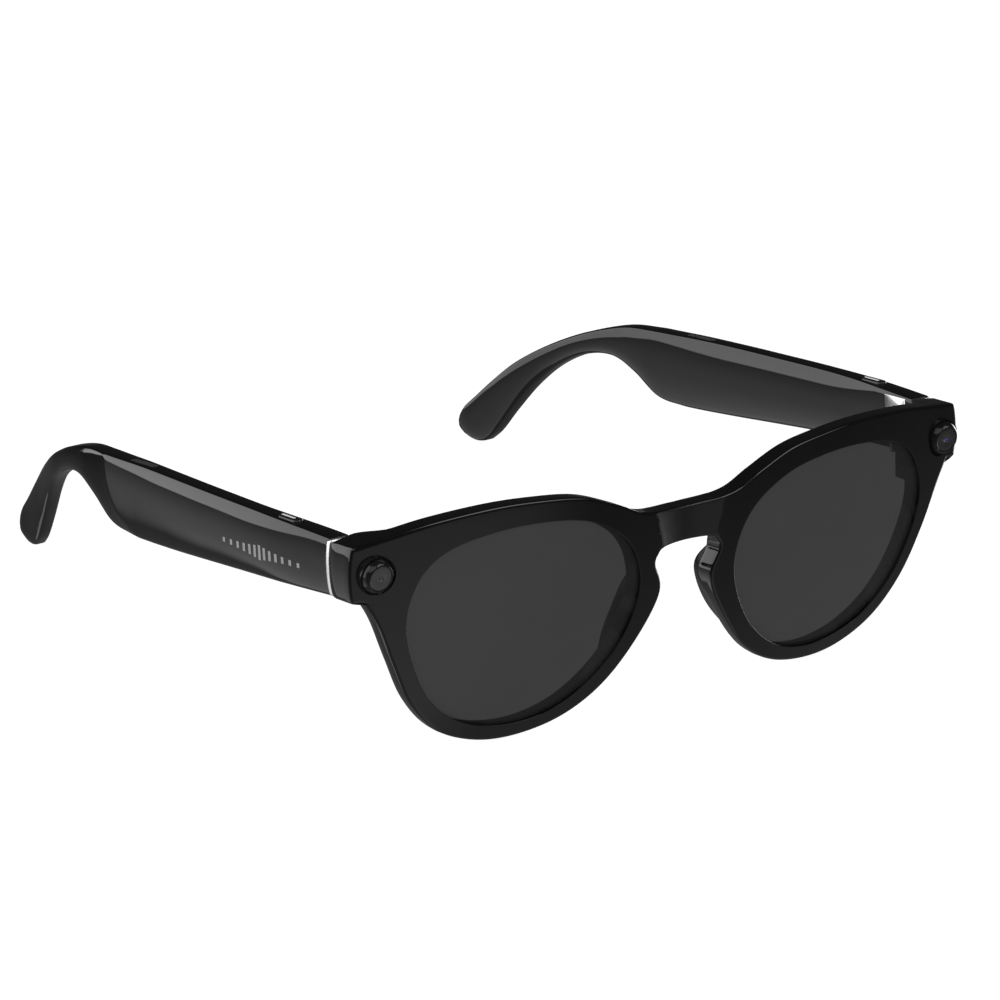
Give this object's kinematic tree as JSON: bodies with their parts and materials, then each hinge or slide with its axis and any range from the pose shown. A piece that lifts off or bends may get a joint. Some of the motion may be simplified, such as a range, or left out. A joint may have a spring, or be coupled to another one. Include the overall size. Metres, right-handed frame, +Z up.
{
  "type": "smart glasses",
  "caption": "Sunglass-shaped smart glasses with folding temples, a camera window, an indicator window, moulded nose pads, press buttons on the temples and a touch strip.",
  "frame": {"origin": "centre of the footprint, on the surface that the rims and the temple tips stand on", "axes": "+Z up, +Y from the front back along the temples, +X to the wearer's left"},
  "size_m": [0.148, 0.1518, 0.0502],
  "materials": {
    "gloss_black": "polished black moulding",
    "lens_tint": "dark grey sun tint, polished",
    "pad_black": "polished black, softer edges",
    "bezel_dark": "dark anodised, polished edge",
    "window_dark": "dark cover glass with a blue coating",
    "window_grey": "smoked grey diffuser glass",
    "camera_black": "matt black barrel",
    "board_green": "green solder mask",
    "satin_black": "black, slightly softer gloss",
    "flex_amber": "amber polyimide film",
    "hinge_steel": "bright polished steel",
    "ring_silver": "bright plated metal",
    "battery_foil": "wrapped pouch",
    "speaker_grey": "matt grey box",
    "mesh_black": "fine black mesh",
    "can_silver": "small metal can",
    "core_steel": "drawn spring steel",
    "button_gloss": "polished black cap",
    "mark_silver": "light grey inlay",
    "contact_gold": "gold plated"
  },
  "bodies": {
    "front": {"front_frame": "gloss_black", "lens_right": "lens_tint", "lens_left": "lens_tint", "nose_pad_right": "pad_black", "nose_pad_left": "pad_black", "camera_bezel": "bezel_dark", "camera_window": "window_dark", "camera_module": "camera_black", "indicator_bezel": "bezel_dark", "indicator_window": "window_grey", "indicator_board": "board_green", "endpiece_cover_right": "satin_black", "endpiece_cover_left": "satin_black", "front_flex_cable": "flex_amber", "channel_cover": "satin_black", "hinge_front_leaf_right": "hinge_steel", "hinge_front_leaf_left": "hinge_steel", "hinge_screws_right": "hinge_steel", "hinge_screws_left": "hinge_steel", "hinge_pin_right": "hinge_steel", "hinge_pin_left": "hinge_steel"},
    "temple_right": {"temple_shell_right": "gloss_black", "temple_cover_right": "satin_black", "trim_ring_right": "ring_silver", "hinge_temple_leaf_right": "hinge_steel", "battery_right": "battery_foil", "speaker_right": "speaker_grey", "speaker_mesh_right": "mesh_black", "microphone_right": "can_silver", "button_switch_right": "can_silver", "tip_core_right": "core_steel", "main_board": "board_green", "touch_flex": "flex_amber", "touch_marks": "mark_silver", "charging_contacts": "contact_gold"},
    "temple_left": {"temple_shell_left": "gloss_black", "temple_cover_left": "satin_black", "trim_ring_left": "ring_silver", "hinge_temple_leaf_left": "hinge_steel", "battery_left": "battery_foil", "speaker_left": "speaker_grey", "speaker_mesh_left": "mesh_black", "microphone_left": "can_silver", "button_switch_left": "can_silver", "tip_core_left": "core_steel", "aux_board": "board_green"},
    "button_right": {"button_right": "button_gloss"},
    "button_left": {"button_left": "button_gloss"}
  },
  "joints": [
    {"name": "fold_right", "type": "hinge", "parent": "front", "child": "temple_right", "pos_m": [-0.0666, -0.05904, 0.03964], "axis": [0, -0.108, -0.9942], "range_deg": [0, 74]},
    {"name": "fold_left", "type": "hinge", "parent": "front", "child": "temple_left", "pos_m": [0.0666, -0.05904, 0.03964], "axis": [0, 0.108, 0.9942], "range_deg": [0, 86]},
    {"name": "press_right", "type": "slide", "parent": "temple_right", "child": "button_right", "axis": [0, -0.108, -0.9942], "range_m": [0, 0.0004], "stiffness_N_per_m": 300},
    {"name": "press_left", "type": "slide", "parent": "temple_left", "child": "button_left", "axis": [0, -0.108, -0.9942], "range_m": [0, 0.0004], "stiffness_N_per_m": 300}
  ]
}
